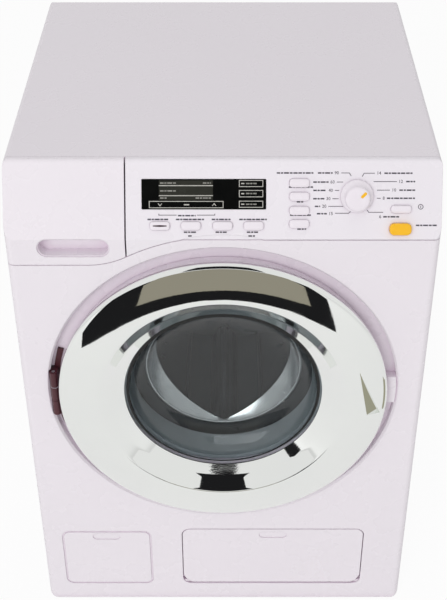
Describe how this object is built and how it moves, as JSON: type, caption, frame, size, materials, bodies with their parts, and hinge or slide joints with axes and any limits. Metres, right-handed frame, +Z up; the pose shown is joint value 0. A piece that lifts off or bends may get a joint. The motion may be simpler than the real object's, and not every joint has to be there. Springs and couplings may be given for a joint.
{
  "type": "toy washing machine",
  "caption": "Toy front-loading washing machine with a swinging porthole door, turning drum, detergent drawer, programme knob, press buttons and a drop-down service flap.",
  "frame": {"origin": "on the surface it stands on, below the middle of the whole machine, closed door included", "axes": "+X to the right seen from the front, +Y to the back, +Z up"},
  "size_m": [0.185, 0.1934, 0.259],
  "materials": {
    "panel_plastic": "glossy moulded shell, faintly pink white",
    "button_plastic": "glossy moulded white",
    "display_film": "glossy printed film, near black",
    "yellow_plastic": "glossy warm yellow",
    "chrome_plate": "plated plastic, mirror bright",
    "smoked_clear": "clear smoked plastic",
    "seal_rubber": "soft grey",
    "drum_plastic": "grey moulded, satin",
    "lip_plate": "bright plated edge",
    "steel": "plain steel",
    "hinge_plastic": "dark red moulded, satin",
    "gear_plastic": "natural cream moulded",
    "board": "green circuit board",
    "keypad_rubber": "grey silicone",
    "dark_rubber": "dark feet",
    "cell_metal": "painted cell jacket",
    "contact_metal": "plated spring strip"
  },
  "bodies": {
    "cabinet": {"front_panel": "panel_plastic", "control_fascia": "panel_plastic", "display_window": "display_film", "left_side_panel": "panel_plastic", "right_side_panel": "panel_plastic", "top_cover": "panel_plastic", "rear_cover": "panel_plastic", "housing_screws": "steel", "base_plate": "panel_plastic", "rubber_feet": "dark_rubber", "battery_box": "panel_plastic", "battery_cells": "cell_metal", "battery_contacts": "contact_metal", "battery_cover": "panel_plastic", "battery_screw": "steel", "tub": "drum_plastic", "tub_screws": "steel", "door_seal": "seal_rubber", "drum_bearing": "gear_plastic", "motor_bracket": "panel_plastic", "motor": "steel", "motor_screws": "steel", "hinge_bracket": "hinge_plastic", "hinge_pin": "steel", "door_catch": "panel_plastic", "drawer_housing": "panel_plastic", "circuit_board": "board", "keypads": "keypad_rubber", "program_switch": "keypad_rubber", "flap_pocket": "panel_plastic"},
    "door": {"door_ring": "chrome_plate", "door_liner": "panel_plastic", "door_hook": "panel_plastic", "door_glass": "smoked_clear", "door_screws": "steel"},
    "drum_unit": {"drum": "drum_plastic", "drum_face": "drum_plastic", "drum_lip": "lip_plate", "drum_paddles": "drum_plastic", "drum_shaft": "steel", "drum_gear": "gear_plastic"},
    "motor_rotor": {"motor_pinion": "steel"},
    "drawer": {"drawer_front": "panel_plastic", "drawer_tray": "button_plastic"},
    "knob": {"program_knob": "button_plastic", "knob_pointer": "yellow_plastic"},
    "latch": {"latch_bar": "panel_plastic"},
    "flap": {"service_flap": "panel_plastic"},
    "start_key": {"start_button": "button_plastic"},
    "fill_key": {"fill_button": "button_plastic"},
    "wash_key": {"wash_button": "button_plastic"},
    "drain_key": {"drain_button": "button_plastic"},
    "program_key": {"program_button": "button_plastic"},
    "option_key": {"option_button": "button_plastic"},
    "delay_key": {"delay_button": "button_plastic"},
    "spin_key": {"spin_button": "button_plastic"},
    "power_key": {"power_button": "button_plastic"},
    "door_key": {"door_button": "yellow_plastic"}
  },
  "joints": [
    {"name": "door_hinge", "type": "hinge", "parent": "cabinet", "child": "door", "pos_m": [-0.0777, -0.08833, 0.145], "axis": [0, 0, -1], "range_deg": [0, 105]},
    {"name": "drum_spin", "type": "hinge", "parent": "cabinet", "child": "drum_unit", "pos_m": [0, 0, 0.145], "axis": [0, 1, 0], "continuous": true},
    {"name": "pinion_spin", "type": "hinge", "parent": "cabinet", "child": "motor_rotor", "pos_m": [0, 0.04, 0.1075], "axis": [0, 1, 0], "continuous": true},
    {"name": "drawer_slide", "type": "slide", "parent": "cabinet", "child": "drawer", "axis": [0, -1, 0], "range_m": [0, 0.034]},
    {"name": "knob_turn", "type": "hinge", "parent": "cabinet", "child": "knob", "pos_m": [0.0566, -0.07924, 0.24573], "axis": [0, -0.8728, 0.4882], "continuous": true},
    {"name": "flap_hinge", "type": "hinge", "parent": "cabinet", "child": "flap", "pos_m": [0.025, -0.08722, 0.0136], "axis": [1, 0, 0], "range_deg": [0, 90]},
    {"name": "start_press", "type": "slide", "parent": "cabinet", "child": "start_key", "axis": [0, 0.8728, -0.4882], "range_m": [0, 0.001], "stiffness_N_per_m": 250},
    {"name": "fill_press", "type": "slide", "parent": "cabinet", "child": "fill_key", "axis": [0, 0.8728, -0.4882], "range_m": [0, 0.001], "stiffness_N_per_m": 250},
    {"name": "wash_press", "type": "slide", "parent": "cabinet", "child": "wash_key", "axis": [0, 0.8728, -0.4882], "range_m": [0, 0.001], "stiffness_N_per_m": 250},
    {"name": "drain_press", "type": "slide", "parent": "cabinet", "child": "drain_key", "axis": [0, 0.8728, -0.4882], "range_m": [0, 0.001], "stiffness_N_per_m": 250},
    {"name": "program_press", "type": "slide", "parent": "cabinet", "child": "program_key", "axis": [0, 0.8728, -0.4882], "range_m": [0, 0.001], "stiffness_N_per_m": 250},
    {"name": "option_press", "type": "slide", "parent": "cabinet", "child": "option_key", "axis": [0, 0.8728, -0.4882], "range_m": [0, 0.001], "stiffness_N_per_m": 250},
    {"name": "delay_press", "type": "slide", "parent": "cabinet", "child": "delay_key", "axis": [0, 0.8728, -0.4882], "range_m": [0, 0.001], "stiffness_N_per_m": 250},
    {"name": "spin_press", "type": "slide", "parent": "cabinet", "child": "spin_key", "axis": [0, 0.8728, -0.4882], "range_m": [0, 0.001], "stiffness_N_per_m": 250},
    {"name": "power_press", "type": "slide", "parent": "cabinet", "child": "power_key", "axis": [0, 0.8728, -0.4882], "range_m": [0, 0.001], "stiffness_N_per_m": 250},
    {"name": "door_press", "type": "slide", "parent": "cabinet", "child": "door_key", "axis": [0, 0.8728, -0.4882], "range_m": [0, 0.0018], "stiffness_N_per_m": 300},
    {"name": "latch_slide", "type": "slide", "parent": "cabinet", "child": "latch", "axis": [0, 0, -1], "range_m": [0, 0.0015]}
  ],
  "couplings": [
    {"joint": "pinion_spin", "follows": "drum_spin", "ratio": -4},
    {"joint": "latch_slide", "follows": "door_press", "ratio": 0.8}
  ]
}
